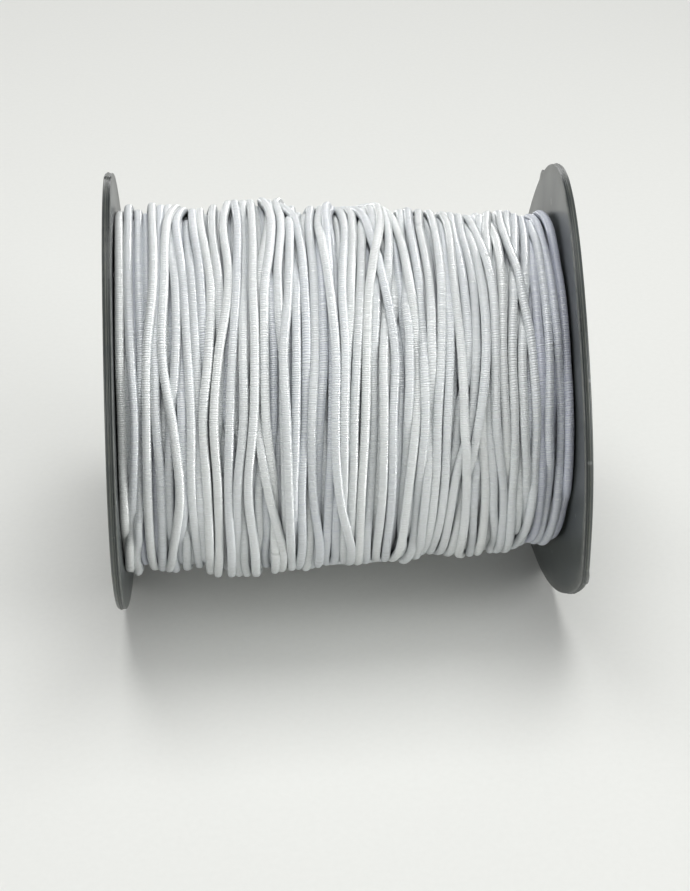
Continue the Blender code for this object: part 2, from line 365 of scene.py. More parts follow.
class View:
    """Where pixels of the photo lie, in millimetres from the spool's axis."""

    def __init__(self):
        self.eye = np.array(CAMERA_PLACE) / MILLIMETRE - (0, 0, AXIS_HEIGHT)
        turn = Euler([math.radians(turn) for turn in CAMERA_TURN])
        self.axes = np.array(turn.to_matrix())

    def ray(self, across, down):
        """The direction in which the camera sees a pixel."""
        seen = (across - IMAGE_WIDTH / 2, IMAGE_HEIGHT / 2 - down, -FOCAL_PIXELS)
        return self.axes @ np.array(seen)

    def across(self, point):
        """How far across the photo a point is seen, in pixels."""
        seen = (np.array(point) - self.eye) @ self.axes
        return IMAGE_WIDTH / 2 - FOCAL_PIXELS * seen[0] / seen[2]

    def on_winding(self, across, down):
        """The place (x, angle from PATH_START) of a turn's middle seen at a pixel."""
        ray = self.ray(across, down)
        x = 0.0
        for _ in range(5):
            radius = wound_radius(x) - CORD_RADIUS
            a = ray[1] ** 2 + ray[2] ** 2
            b = self.eye[1] * ray[1] + self.eye[2] * ray[2]
            c = self.eye[1] ** 2 + self.eye[2] ** 2 - radius**2
            reach = (-b - math.sqrt(max(b * b - a * c, 0.0))) / a
            x = self.eye[0] + reach * ray[0]
        y = self.eye[1] + reach * ray[1]
        z = self.eye[2] + reach * ray[2]
        return x, (math.degrees(math.atan2(z, y)) - PATH_START) % 360

    def outline(self, edges, angle):
        """The outline's points as places along the axis and radii."""
        places, radii = [], []
        for across, down in edges:
            ray = self.ray(across, down)
            away = abs(self.eye[1] * ray[2] - self.eye[2] * ray[1])
            places.append(self.x_at(across, angle))
            radii.append(away / math.hypot(ray[1], ray[2]))
        return places, radii

    def x_at(self, across, angle):
        """Where along the axis a turn is seen at that many pixels across."""
        turned = math.radians(angle + PATH_START)
        x = 0.0
        for _ in range(4):
            radius = wound_radius(x) - CORD_RADIUS
            side = (radius * math.cos(turned), radius * math.sin(turned))
            here = self.across((x, *side))
            scale = self.across((x + 1.0, *side)) - here
            x += (across - here) / scale
        return x


# -------- the lay of the cord


def wound_radius(x):
    """The smooth radius of the wound form, out to the tops of the turns."""
    return np.interp(x, FORM_X, FORM_RADIUS)


def lowest_radius(x):
    """The radius of a turn's middle where it lies on the wound body below."""
    return wound_radius(x) - CORE_DEPTH + CORD_RADIUS


def saddle(side, radius, turned):
    """How far a flange is out of its plane, along X. The angle is in radians."""
    share = np.maximum(0.0, radius - STIFF_RADIUS) / (FLANGE_RADIUS - STIFF_RADIUS)
    return SADDLE[side] * share**2 * np.cos(2 * (turned - SADDLE_ANGLE))


def smooth_line(knots, values, places):
    """A smooth curve through the knots, read at the places."""
    steps = np.diff(knots)
    slopes = np.diff(values) / steps
    lean = np.empty_like(values)
    lean[1:-1] = (slopes[:-1] * steps[1:] + slopes[1:] * steps[:-1]) / (steps[1:] + steps[:-1])
    limit = 2.5 * np.minimum(np.abs(slopes[:-1]), np.abs(slopes[1:])) + 0.03
    lean[1:-1] = np.clip(lean[1:-1], -limit, limit)
    lean[0], lean[-1] = slopes[0], slopes[-1]
    i = np.clip(np.searchsorted(knots, places) - 1, 0, len(steps) - 1)
    t = (places - knots[i]) / steps[i]
    width = steps[i]
    start = (1 + 2 * t) * (1 - t) ** 2 * values[i] + t * (1 - t) ** 2 * width * lean[i]
    end = t**2 * (3 - 2 * t) * values[i + 1] + t**2 * (t - 1) * width * lean[i + 1]
    return start + end


def front_knots(view, top, rows, end, over, lead=(), tail=()):
    """The places (angle, x, rank) of a visible turn, from the top outline to the bottom
    one and what is known of it past them."""
    knots = []
    for across, past, rank in lead:
        angle = TOP_EDGE - past
        knots.append((angle, view.x_at(across, angle), rank))
    knots.append((TOP_EDGE, view.x_at(top, TOP_EDGE), over[0]))
    for across, down in zip(rows, PHOTO_ROWS):
        x, angle = view.on_winding(across, down)
        if angle > knots[-1][0] + KNOTS_APART:
            share = (angle - TOP_EDGE) / (BOTTOM_EDGE - TOP_EDGE)
            knots.append((angle, x, over[0] + share * (over[1] - over[0])))
    knots.append((BOTTOM_EDGE, view.x_at(end, BOTTOM_EDGE), over[1]))
    for across, past, rank in tail:
        angle = BOTTOM_EDGE + past
        knots.append((angle, view.x_at(across, angle), rank))
    return knots


def top_layer(view, chance):
    """Places x and ranks of the visible turns: a row a turn, STEPS places in each. Behind,
    each goes over to the next with a little wandering."""
    order = list(range(len(TURNS)))
    for i in range(len(order) - 1):
        if chance.random() < SWAPPED:
            order[i], order[i + 1] = order[i + 1], order[i]
    path = [(0.0, -INNER_HALF + CORD_RADIUS, END_RANKS[0])]
    for count, which in enumerate(order):
        base = 360.0 * count
        knots = front_knots(view, *TURNS[which])
        path += [(base + angle, x, rank) for angle, x, rank in knots]
        start = knots[-1]
        if count + 1 == len(order):
            path.append((base + 360.0, start[1] - END_RUN, END_RANKS[1]))
            break
        goal = front_knots(view, *TURNS[order[count + 1]])[0]
        for angle in BACK_KNOTS:
            share = (angle - start[0]) / (360.0 + goal[0] - start[0])
            stray = chance.normal(0.0, BACK_WANDER) * math.sin(math.pi * share) ** 0.5
            x = start[1] + share * (goal[1] - start[1]) + stray
            path.append((base + angle, x, start[2] + share * (goal[2] - start[2])))
    angles, places, ranks = np.array(path).T
    grid = np.arange(len(TURNS) * STEPS) * 360.0 / STEPS
    x = smooth_line(angles, places, grid).reshape(-1, STEPS)
    rank = np.interp(grid, angles, ranks).reshape(-1, STEPS)
    return x, rank


def under_layer(direction, rank, chance):
    """An even layer of turns beneath, wound in that direction along the axis."""
    room = INNER_HALF - CORD_RADIUS - UNDER_GAP
    grid = np.arange(UNDER_TURNS * STEPS) / STEPS
    knots = np.arange(0, UNDER_TURNS + 1, UNDER_KNOTS)
    stray = smooth_line(knots, chance.normal(0.0, UNDER_WANDER, len(knots)), grid)
    x = direction * (2 * room * grid / UNDER_TURNS - room) + stray
    return x.reshape(-1, STEPS), np.full((UNDER_TURNS, STEPS), float(rank))


def keep_between_flanges(x):
    """Turns near a flange stay clear of its warped inner face."""
    turned = np.radians(PATH_START + ANGLES)
    room = INNER_HALF - CORD_RADIUS - FLANGE_GAP
    low = -room + np.maximum(-FOLLOWED, saddle("left", GAP_AT["left"], turned))
    high = room + np.minimum(0.0, saddle("right", GAP_AT["right"], turned))
    return np.clip(x, low, high)


def stack(x, rank):
    """The radius of each turn's middle at each place, where every turn rests on those of
    lower rank and none is lower than on the wound body below."""
    touching = 2 * CORD_RADIUS * PRESSED
    turns = x.shape[0]
    lowest = lowest_radius(x)
    order = np.argsort(rank + np.arange(turns)[:, None] * 1e-4, axis=0)
    column = np.arange(STEPS)
    radius = np.full_like(x, -np.inf)
    for k in range(turns):
        here = order[k]
        apart = x - x[here, column]
        held = np.sqrt(np.maximum(touching**2 - apart**2, 0.0)) + radius
        held[np.abs(apart) >= touching] = -np.inf
        radius[here, column] = np.maximum(held.max(axis=0), lowest[here, column])
    return radius


def follow_outlines(x, radius, rank, outlines):
    """Turns that lie over their neighbours come up to the photo's outlines, the layers
    beneath back them up, and no turn stands out past them."""
    backed = np.full_like(rank, np.inf)
    for layer, depth in zip(LOW_RANKS, BACKED):
        backed[rank == layer] = depth
    lifted = np.clip(rank - LIFTED_FROM, 0.0, 1.0)
    for edge, (places, radii) in outlines:
        near = np.exp(-(((ANGLES - edge) / EDGE_REACH) ** 2))
        goal = np.interp(x, places, radii) - CORD_RADIUS
        radius = radius + EDGE_LIFT * near * lifted * (goal - radius)
        slack = EDGE_SLACK * (1.0 - near)
        radius = np.maximum(radius, goal - backed - slack)
        radius = np.minimum(radius, goal + EDGE_GIVE + slack)
    return radius


def soften(values):
    """Rounds the bends along the cord's path."""
    path = values.ravel()
    path = (np.roll(path, 1) + 2 * path + np.roll(path, -1)) / 4
    return path.reshape(values.shape)


def settle(x, radius, rank, hold, outlines):
    """Lets the laid turns settle under their pull: they sink towards the core, slide off
    each other sideways and stay smooth along their length. hold is how firmly each
    place keeps where it was laid, from 0 to 1."""
    laid = x.copy()
    touching = 2 * CORD_RADIUS * PRESSED
    mobile = 1.0 - HOLD_WEIGHT * hold
    for step in range(SETTLING_STEPS):
        if step < SETTLING_STEPS - LAST_STEPS:
            radius = radius - PULL
        order = np.argsort(x, axis=0)
        sx = np.take_along_axis(x, order, axis=0)
        sr = np.take_along_axis(radius, order, axis=0)
        free = np.take_along_axis(mobile, order, axis=0)
        push_x = np.zeros_like(sx)
        push_r = np.zeros_like(sr)
        for k in range(1, NEIGHBOURS + 1):
            dx = sx[k:] - sx[:-k]
            dr = sr[k:] - sr[:-k]
            apart = np.sqrt(dx * dx + dr * dr) + 1e-6
            share = np.maximum(touching - apart, 0.0) / apart
            weight = free[k:] / (free[k:] + free[:-k])
            push_x[k:] += share * dx * weight
            push_x[:-k] -= share * dx * (1 - weight)
            push_r[k:] += 0.5 * share * dr
            push_r[:-k] -= 0.5 * share * dr
        back = np.argsort(order, axis=0)
        x = x + EASED * np.take_along_axis(push_x, back, axis=0)
        radius = radius + EASED * np.take_along_axis(push_r, back, axis=0)
        x = laid + soften((x - laid) * (1.0 - HOLD_PULL * hold))
        x = keep_between_flanges(x)
        radius = follow_outlines(x, soften(radius), rank, outlines)
        radius = np.maximum(radius, lowest_radius(x))
    return x, radius


def lay_cord():
    """Places x, radii and ranks of the whole cord: first the two layers beneath."""
    chance = np.random.default_rng(SEED)
    view = View()
    layers = [
        under_layer(1, LOW_RANKS[0], chance),
        under_layer(-1, LOW_RANKS[1], chance),
        top_layer(view, chance),
    ]
    x = keep_between_flanges(np.concatenate([layer[0] for layer in layers]))
    rank = np.concatenate([layer[1] for layer in layers])
    radius = stack(x, rank)
    inside = np.minimum(ANGLES - TOP_EDGE + HOLD_FADE, BOTTOM_EDGE + HOLD_FADE - ANGLES)
    front = np.clip(inside / HOLD_FADE, 0, 1)
    seen = np.clip(0.5 + 0.5 * rank, 0.0, 1.0)
    hold = np.where(rank > LOW_RANKS[1], HOLD[0] + HOLD[1] * front * seen, 0.0)
    outlines = [
        (TOP_EDGE, view.outline(TOP_LINE, TOP_EDGE)),
        (BOTTOM_EDGE, view.outline(BOTTOM_LINE, BOTTOM_EDGE)),
    ]
    x, radius = settle(x, radius, rank, hold, outlines)
    return x, radius, rank


# -------- meshes


def add_object(name, data):
    """An object in the scene with that mesh, lamp or camera."""
    made = bpy.data.objects.new(name, data)
    bpy.context.scene.collection.objects.link(made)
    return made


def mesh_object(name, points, faces, material, caps=()):
    """A mesh of quads (an array of 4 corners a row) and of caps (a list of corners each)
    as an object in the scene."""
    mesh = bpy.data.meshes.new(name)
    mesh.vertices.add(len(points))
    mesh.vertices.foreach_set("co", np.asarray(points, np.float32).ravel())
    corners = np.concatenate([faces.ravel(), *caps]).astype(np.int32)
    sizes = [4] * len(faces) + [len(cap) for cap in caps]
    starts = np.concatenate([[0], np.cumsum(sizes)[:-1]]).astype(np.int32)
    mesh.loops.add(len(corners))
    mesh.loops.foreach_set("vertex_index", corners)
    mesh.polygons.add(len(sizes))
    mesh.polygons.foreach_set("loop_start", starts)
    mesh.polygons.foreach_set("use_smooth", [True] * len(sizes))
    mesh.update(calc_edges=True)
    mesh.validate()
    mesh.materials.append(material)
    return add_object(name, mesh)


def grid_faces(rings, size, closed):
    """The quads between rings of that many points. A closed grid joins its last ring to
    its first."""
    ring = np.arange(rings if closed else rings - 1)[:, None] * size
    after = (ring + size) % (rings * size)
    here = np.arange(size)[None, :]
    there = (here + 1) % size
    corners = [ring + here, after + here, after + there, ring + there]
    return np.stack([c.ravel() for c in corners], axis=1)


def add_value(mesh, name, values):
    """A number at each point of a mesh, for its material."""
    made = mesh.attributes.new(name, "FLOAT", "POINT")
    made.data.foreach_set("value", values.astype(np.float32))


def step_up(value, start, end):
    """From 0 at the start to 1 at the end, rounded at both."""
    share = np.clip((value - start) / (end - start), 0.0, 1.0)
    return share * share * (3 - 2 * share)


def band(value, middle, half_width):
    """1 over a band of values, and 0 away from it."""
    return np.exp(-(((value - middle) / half_width) ** 4))


def degrees_from(angle, middle):
    """How far angles, in radians, are from one in degrees, in degrees."""
    return np.degrees(np.angle(np.exp(1j * (angle - math.radians(middle)))))


def count_ribs(line, chance):
    """The number of ribs from the cord's start to each of its places."""
    length = np.concatenate([[0], np.cumsum(np.linalg.norm(np.diff(line, axis=0), axis=1))])
    knots = np.arange(0.0, length[-1] + 3 * RIB_STRETCH, RIB_STRETCH)
    spread = chance.normal(0.0, RIB_UNEVEN, len(knots))
    pitch = RIB_PITCH * np.exp(np.interp(length, knots, spread))
    return np.concatenate([[0], np.cumsum(np.diff(length) / pitch[1:])])


def openness(points, normals, columns, discs):
    """How much of what is outside the winding each point of a cord's surface sees, past
    the cord's other turns there: 1 on a crest, 0 deep in a gap. Columns are the points'
    places in a turn, and discs the middles (x, radius) of all turns at each place."""
    disc_x, disc_radius = discs
    along = points[:, :, 0]
    out = np.hypot(points[:, :, 1], points[:, :, 2])
    unit = points[:, :, 1:] / out[:, :, None]
    facing = np.arctan2(normals[:, :, 0], (normals[:, :, 1:] * unit).sum(axis=2))
    seen = np.empty_like(along)
    quarter = math.pi / 2
    for column in range(STEPS):
        rows = np.flatnonzero(columns == column)
        if not len(rows):
            continue
        dx = disc_x[:, column] - along[rows, :, None]
        dr = disc_radius[:, column] - out[rows, :, None]
        away = np.hypot(dx, dr)
        other = away > OTHER_TURN * CORD_RADIUS
        turn = np.arctan2(dx, dr)
        half = np.arcsin(np.minimum(CORD_RADIUS / np.maximum(away, CORD_RADIUS), 1.0))
        right = np.where(other & (dx > 0), turn - half, quarter).min(axis=2)
        left = np.where(other & (dx <= 0), turn + half, -quarter).max(axis=2)
        face = facing[rows]
        high = np.minimum(right - face, quarter)
        low = np.maximum(left - face, -quarter)
        seen[rows] = np.where(high > low, 0.5 * (np.sin(high) - np.sin(low)), 0.0)
    return np.clip(seen, 0.0, 1.0)


def add_cord_map(mesh, places):
    """Texture places of a mesh's corners: ribs along the cord, and turns round it."""
    layer = mesh.uv_layers.new(name="cord")
    values = np.zeros((len(layer.data), 2), np.float32)
    values[: len(places)] = places
    layer.data.foreach_set("uv", values.ravel())


def tube_map(ribs, sides):
    """Texture places of a tube's corners, from the ribs at each of its rings."""
    start, end = ribs[:-1, None], ribs[1:, None]
    side = np.arange(sides)[None, :]
    size = (len(ribs) - 1, sides, 4)
    u = np.broadcast_to(np.stack([start, end, end, start], axis=-1), size)
    v = np.broadcast_to(np.stack([side, side, side + 1, side + 1], axis=-1) / sides, size)
    return np.stack([u, v], axis=-1).reshape(-1, 2)


def cord_piece(name, path, span, stride, sides, tones, material):
    """The stretch of the cord from one place of its path to another, as a tube."""
    line, turned, ribs, discs = path
    places = np.arange(span[0], span[1] + 1, stride)
    ahead = np.gradient(line, axis=0)
    ahead /= np.linalg.norm(ahead, axis=1)[:, None]
    out = np.stack([np.zeros_like(turned), np.cos(turned), np.sin(turned)], axis=1)
    out -= (out * ahead).sum(axis=1)[:, None] * ahead
    out /= np.linalg.norm(out, axis=1)[:, None]
    across = np.cross(ahead, out)
    around = 2 * math.pi * np.arange(sides) / sides
    cosine, sine = np.cos(around), np.sin(around)
    reach = CORD_RADIUS / (abs(cosine) ** SQUARED + abs(sine) ** SQUARED) ** (1 / SQUARED)
    wide = (reach * cosine)[None, :, None] * across[places][:, None, :]
    high = (FLATTENED * reach * sine)[None, :, None] * out[places][:, None, :]
    surface = line[places][:, None, :] + wide + high
    seen = openness(surface, (wide + high) / CORD_RADIUS, places % STEPS, discs)
    points = surface.reshape(-1, 3)
    points[:, 2] += AXIS_HEIGHT
    faces = grid_faces(len(places), sides, False)
    ends = [np.arange(sides), np.arange(len(points) - 1, len(points) - 1 - sides, -1)]
    made = mesh_object(name, points * MILLIMETRE, faces, material, ends)
    add_cord_map(made.data, tube_map(ribs[places], sides))
    add_value(made.data, "tone", np.repeat(tones[places], sides))
    # openness sets where the material paints shade into the gaps
    add_value(made.data, "open", seen.ravel())
    return made


def turned_body(name, section, angle, shape, material):
    """A closed body: the (x, radius) points round its section, set at each angle
    about the axis. shape moves the points: (x, radius, angle) arrays to (x, radius)."""
    steps, size = len(angle), len(section)
    x, radius = np.broadcast_to(section.T[:, None], (2, steps, size))
    x, radius = shape(x, radius, angle[:, None])
    low = np.maximum(-np.sin(angle[:, None]), 1e-3)
    radius = np.where(radius > STANDS_FROM, np.minimum(radius, AXIS_HEIGHT / low), radius)
    y = radius * np.cos(angle[:, None])
    z = radius * np.sin(angle[:, None]) + AXIS_HEIGHT
    points = np.stack([x, y, z], axis=-1).reshape(-1, 3)
    faces = grid_faces(steps, size, True)
    ahead = np.roll(section, -1, axis=0)
    if (section[:, 0] * ahead[:, 1] - section[:, 1] * ahead[:, 0]).sum() > 0:
        faces = faces[:, ::-1]
    return mesh_object(name, points * MILLIMETRE, faces, material)


def quarter_rounds(corners):
    """The points of a quarter round at each corner (x, radius, rounding) of an outline."""
    turns = 0.5 * math.pi * np.arange(ROUND_STEPS + 1)[:, None] / ROUND_STEPS
    rounds = []
    for i, (x, radius, size) in enumerate(corners):
        last, ahead = corners[i - 1], corners[(i + 1) % len(corners)]
        back = size * np.sign([last[0] - x, last[1] - radius])
        on = size * np.sign([ahead[0] - x, ahead[1] - radius])
        rounds.append((x, radius) + back + on - on * np.cos(turns) - back * np.sin(turns))
    return rounds


def rim_height(depth):
    """The rim's grooves and parting line: how far it stands up at a depth."""
    height = PARTING_RIDGE[2] * band(depth, *PARTING_RIDGE[:2])
    for place, half_width, deep, _ in GROOVES:
        height -= deep * band(depth, place, half_width)
    return height


def flange_outline():
    """The flange's section: depth outwards from its inner face, and radius."""
    face = FLANGE_THICKNESS
    top = face + HUB_RISE
    end = -SPIGOT_LENGTH
    spigot = BARREL_RADIUS - BARREL_WALL - CLEARANCE
    corners = [
        (top, BORE_RADIUS, CORNER),
        (end, BORE_RADIUS, CORNER),
        (end, spigot, CORNER),
        (0.0, spigot, CORNER),
        (0.0, FLANGE_RADIUS, INNER_EDGE),
        (face, FLANGE_RADIUS, OUTER_EDGE),
        (face, HUB_RADIUS, CORNER),
        (top, HUB_RADIUS, CORNER),
    ]
    rim = FLANGE_RADIUS - OUTER_EDGE
    inner = [(0.0, radius) for radius in np.arange(spigot + 1.0, rim - 0.5, 1.5)]
    depths = np.arange(INNER_EDGE + 0.05, face - OUTER_EDGE - 0.02, 0.05)
    edge = [(depth, FLANGE_RADIUS + rim_height(depth)) for depth in depths]
    coarse = np.arange(rim - 0.5, RECESS[1] + 0.6, -1.0)
    steps = [np.arange(step + 0.5, step - 0.6, -0.125) for step in RECESS]
    pins = np.arange(PIN_CIRCLE + PIN_RADIUS + 0.6, PIN_CIRCLE - PIN_RADIUS - 0.7, -0.25)
    between = np.arange(RECESS[1] - 1.5, pins[0] + 0.5, -1.5)
    inward = np.arange(pins[-1] - 1.0, RECESS[0] + 1.0, -1.5)
    near_hub = np.arange(RECESS[0] - 1.2, HUB_RADIUS + 1.0, -1.0)
    radii = np.concatenate([coarse, steps[1], between, pins, inward, steps[0], near_hub])
    outer = [(face, radius) for radius in radii]
    hub = [(top, radius) for radius in np.arange(HUB_RADIUS - 1.5, BORE_RADIUS + 1.0, -1.5)]
    points = []
    for quarter, line in zip(quarter_rounds(corners), ([], [], [], inner, edge, outer, [], hub)):
        points += [*quarter, *line]
    return np.array(points)


def flange_angles(stubs):
    """The angles round a flange at which it has a section, finer at its stubs."""
    angles = [np.arange(FLANGE_STEPS) * 360.0 / FLANGE_STEPS]
    for stub in stubs:
        near = STUB_NEAR * stub.half_width
        angles.append(np.arange(stub.angle - near, stub.angle + near, STUB_STEP))
    return np.radians(np.unique(np.concatenate(angles).round(2)))


def outer_face(radius, angle):
    """How much deeper than flat the outer face is, with its recess and pin marks."""
    recessed = step_up(radius, RECESS[0] - RECESS_STEP, RECESS[0] + RECESS_STEP)
    recessed = recessed - step_up(radius, RECESS[1] - RECESS_STEP, RECESS[1] + RECESS_STEP)
    between = 2 * math.pi / PIN_COUNT
    nearest = np.round(angle / between) * between
    from_pin = np.hypot(PIN_CIRCLE * np.abs(angle - nearest), radius - PIN_CIRCLE)
    pressed = 1 - step_up(from_pin, PIN_RADIUS - PIN_STEP, PIN_RADIUS + PIN_STEP)
    return RECESS_DEPTH * recessed + PIN_DEPTH * pressed


def flange(side, material, chance):
    """A thin moulded disc: rounded rim with a rough parting line and gate stubs, a hub
    and pin marks outside. It warps a little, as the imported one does."""
    outward = -1 if side == "left" else 1
    stubs = [stub for stub in STUBS if stub.side == side]
    waves = [(k, chance.uniform(0, 2 * math.pi), chance.uniform(0.4, 1)) for k in ROUGH_WAVES]

    def shape(depth, radius, angle):
        rough = sum(size * np.cos(k * angle + start) for k, start, size in waves) / len(waves)
        ridge = np.clip((radius - FLANGE_RADIUS) / PARTING_RIDGE[2], 0.0, 1.0)
        uneven = np.maximum(ROUGH_PARTING[0] * rough, ROUGH_PARTING[1])
        radius = radius + ridge * PARTING_RIDGE[2] * uneven
        radius = radius + (radius > FLANGE_RADIUS - ROUGH_DEPTH) * ROUGH_SIZE * rough
        for stub in stubs:
            raised = (radius > FLANGE_RADIUS - ROUGH_DEPTH) * (depth >= stub.start)
            hump = band(degrees_from(angle, stub.angle), 0.0, 0.8 * stub.half_width)
            radius = radius + raised * stub.height * hump
        outside = depth > FLANGE_THICKNESS - 0.01
        depth = depth - outside * outer_face(radius, angle)
        x = outward * (INNER_HALF + depth) + saddle(side, radius, angle)
        if side == "right":
            lean = np.exp(-((degrees_from(angle, BEND_ANGLE) / BEND_HALF_WIDTH) ** 2))
            far = np.maximum(radius - STIFF_RADIUS, 0.0) / (FLANGE_RADIUS - STIFF_RADIUS)
            x = x + BEND_OUTWARDS * lean * far**3
        return x, radius

    outline = flange_outline()
    angles = flange_angles(stubs)
    made = turned_body(f"{side}_flange_moulding", outline, angles, shape, material)
    if side == "left":
        made.data.flip_normals()
    depth, radius = np.tile(outline, (len(angles), 1)).T
    wear_and_groove_shade = step_up(radius, FLANGE_RADIUS - WORN[0], FLANGE_RADIUS - WORN[1])
    # painted shade in the rim's grooves, stored as wear below 0
    for place, half_width, _, dark in GROOVES:
        inside = band(depth, place, 1.3 * half_width) * (radius > FLANGE_RADIUS - 1)
        wear_and_groove_shade -= dark * inside
    add_value(made.data, "wear_and_groove_shade", np.clip(wear_and_groove_shade, -1, 1))
    # painted highlight along the rim's inner edge, and paler gate stubs
    edge = step_up(radius, FLANGE_RADIUS - PALE[0], FLANGE_RADIUS - PALE[1])
    pale = edge * (1 - step_up(depth, *PALE_OUTWARDS))
    around = np.repeat(angles, len(outline))
    for stub in stubs:
        over = band(degrees_from(around, stub.angle), 0.0, stub.half_width)
        pale = np.maximum(pale, STUB_PALE * edge * over * (depth > stub.start + 0.1))
    add_value(made.data, "edge", pale)
    return made


def wound_core(material):
    """The wound body below the turns that are modelled one by one."""
    half = INNER_HALF - CLEARANCE
    count = round(2 * half / CORE_PITCH * CORE_BANDS)
    inside = BARREL_RADIUS + CLEARANCE
    radii = (inside, *CORE_FACES)
    outline = [(-half, radius) for radius in radii]
    places = np.linspace(-half, half, count + 1)
    outline += [(x, wound_radius(x) - CORE_DEPTH + CORE_SUNK) for x in places]
    outline += [(half, radius) for radius in radii[::-1]]
    outline += [(x, inside) for x in np.linspace(half, -half, 6)[1:-1]]
    section = np.array(outline)

    def shape(x, radius, angle):
        wave = np.cos(2 * math.pi * x / CORE_PITCH - angle)
        sunk = CORE_RIPPLE * (1 - np.sqrt(0.5 + 0.5 * wave))
        side = np.where(x < 0, saddle("left", radius, angle), saddle("right", radius, angle))
        lean = side * np.abs(x / half) ** 8
        return x + lean, radius - (radius > CORE_RIPPLED_FROM) * sunk

    angles = 2 * math.pi * np.arange(CORE_STEPS) / CORE_STEPS
    made = turned_body("cord_core", section, angles, shape, material)
    corner = np.empty(len(made.data.loops), np.int32)
    made.data.loops.foreach_get("vertex_index", corner)
    step, place = np.divmod(corner, len(section))
    ribs = 2 * math.pi * section[place, 1] / RIB_PITCH * step / CORE_STEPS
    turns = section[place, 0] / CORE_PITCH
    add_cord_map(made.data, np.stack([ribs, turns], axis=1))
    points = len(made.data.vertices)
    add_value(made.data, "tone", np.full(points, CORE_TONE))
    add_value(made.data, "open", np.full(points, CORE_OPEN))
    return made


# -------- materials


class Look:
    """A new material, and the nodes that its look is made of."""

    def __init__(self, name, color, roughness):
        self.material = bpy.data.materials.new(name)
        self.material.use_nodes = True
        self.tree = self.material.node_tree
        self.shader = self.tree.nodes["Principled BSDF"]
        self.shader.inputs["Base Color"].default_value = (*color, 1.0)
        self.shader.inputs["Roughness"].default_value = roughness

    def node(self, kind, inputs=(), **settings):
        """A node of that kind, with {socket: value or output} and its properties."""
        node = self.tree.nodes.new(kind)
        for name, value in settings.items():
            setattr(node, name, value)
        for socket, value in dict(inputs).items():
            if isinstance(value, bpy.types.NodeSocket):
                self.tree.links.new(value, node.inputs[socket])
            else:
                node.inputs[socket].default_value = value
        return node

    def shade(self, socket, output):
        """Sets an input of the shader from an output."""
        self.tree.links.new(output, self.shader.inputs[socket])

    def maths(self, operation, *values):
        """The result of a sum with numbers or outputs."""
        inputs = dict(enumerate(values))
        return self.node("ShaderNodeMath", inputs, operation=operation).outputs[0]

    def value(self, name):
        """The numbers that a mesh has at its points."""
        return self.node("ShaderNodeAttribute", attribute_name=name).outputs["Fac"]

    def place(self):
        """Where a point is on its own object."""
        return self.node("ShaderNodeTexCoord").outputs["Object"]

    def noise(self, place, scale, detail=2.0, rough=0.5, **settings):
        """Cloudy noise from 0 to 1."""
        inputs = {"Vector": place, "Scale": scale, "Detail": detail, "Roughness": rough}
        return self.node("ShaderNodeTexNoise", inputs, **settings).outputs[0]

    def ranged(self, value, start, end, low=0.0, high=1.0, **settings):
        """A value's range from start to end as one from low to high."""
        sockets = ("Value", "From Min", "From Max", "To Min", "To Max")
        inputs = dict(zip(sockets, (value, start, end, low, high)))
        return self.node("ShaderNodeMapRange", inputs, **settings).outputs[0]

    def mixed(self, share, first, second):
        """Two colours or outputs mixed: all first at 0, all second at 1."""
        inputs = {0: share}
        for socket, color in ((6, first), (7, second)):
            inputs[socket] = (*color, 1) if isinstance(color, tuple) else color
        return self.node("ShaderNodeMix", inputs, data_type="RGBA").outputs[2]

    def bump(self, height, strength, distance):
        """Small relief on the surface."""
        inputs = {"Height": height, "Strength": strength, "Distance": distance}
        self.shade("Normal", self.node("ShaderNodeBump", inputs).outputs[0])


def cord_material():
    """White covered elastic: fine ribs round it and a silky shine in lines along it. Its
    colour has painted shade in the gaps between turns and between ribs, on turns that lie
    lower and near the flanges, painted light on the first turn, and turns that differ a
    little in tone."""
    look = Look("cord_cover", CORD_COOL, 0.31)
    place = look.node("ShaderNodeUVMap", uv_map="cord").outputs[0]
    along, around, _ = look.node("ShaderNodeSeparateXYZ", {0: place}).outputs
    uneven = look.noise(place, RIB_NOISE, noise_dimensions="2D")
    phase = look.maths("MULTIPLY_ADD", uneven, RIB_STRAY, along)
    phase = look.maths("MULTIPLY_ADD", around, RIB_SLANT, phase)
    wave = look.maths("SINE", look.maths("MULTIPLY", phase, math.pi))
    thread = look.maths("ABSOLUTE", wave)
    number = {"W": look.maths("FLOOR", phase)}
    own = look.node("ShaderNodeTexWhiteNoise", number, noise_dimensions="1D")
    rib = look.maths("MULTIPLY_ADD", own.outputs["Value"], RIB_OWN, thread)
    tone = look.value("tone")
    # painted shade in the grooves between ribs, added to each turn's tone
    shade = look.maths("MULTIPLY_ADD", rib, RIB_SHADE, tone)
    ramp = look.node("ShaderNodeValToRGB", {0: shade})
    stops = ramp.color_ramp.elements
    stops[0].color = (*CORD_LAVENDER, 1)
    stops[1].color = (*CORD_WARM, 1)
    stops.new(COOL_TONE).color = (*CORD_COOL, 1)
    # painted shade in the gaps, where a point sees little past the other turns
    clear = look.ranged(look.value("open"), *GAP_OPEN, interpolation_type="SMOOTHSTEP")
    look.shade("Base Color", look.mixed(clear, CORD_GAP_SHADE, ramp.outputs[0]))
    rough = look.ranged(tone, *DULL)
    look.shade("Roughness", look.maths("MULTIPLY_ADD", rib, -RIB_GLINT, rough))
    look.bump(rib, 0.8, RIB_BUMP)
    tangent = look.node("ShaderNodeTangent", direction_type="UV_MAP", uv_map="cord")
    look.shade("Tangent", tangent.outputs[0])
    look.shader.inputs["Anisotropic"].default_value = SILK
    look.shader.inputs["Specular IOR Level"].default_value = 1.0
    look.shader.inputs["IOR"].default_value = CORD_IOR
    return look.material


